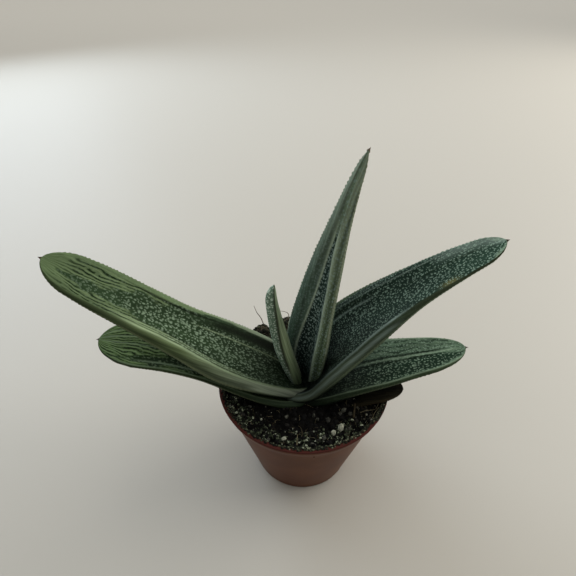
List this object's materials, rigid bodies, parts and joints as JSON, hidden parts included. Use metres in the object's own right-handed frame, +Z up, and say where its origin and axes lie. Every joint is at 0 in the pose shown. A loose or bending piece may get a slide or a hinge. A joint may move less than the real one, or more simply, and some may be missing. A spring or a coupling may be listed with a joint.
{
  "type": "potted gasteria",
  "caption": "Small succulent with two opposite rows of long spotted leaves, growing in soil in a tapered plastic nursery pot.",
  "frame": {"origin": "centre of the pot's flat bottom, on the surface the pot stands on", "axes": "+Z up out of the pot; the two rows of leaves spread along +X and -X; -Y is the front"},
  "size_m": [0.1872, 0.0836, 0.1748],
  "materials": {
    "leaf_flesh": "satin",
    "old_leaf": "satin",
    "stem_flesh": "matte",
    "potting_soil": "matte",
    "pot_plastic": "satin"
  },
  "bodies": {
    "root": {"leaf_young_centre": "leaf_flesh", "leaf_tall_centre": "leaf_flesh", "leaf_upper_left": "leaf_flesh", "leaf_upper_right": "leaf_flesh", "leaf_lower_left": "leaf_flesh", "leaf_lower_right": "leaf_flesh", "leaf_short_old": "old_leaf", "stem_and_roots": "stem_flesh", "soil": "potting_soil", "pot": "pot_plastic"}
  },
  "joints": []
}
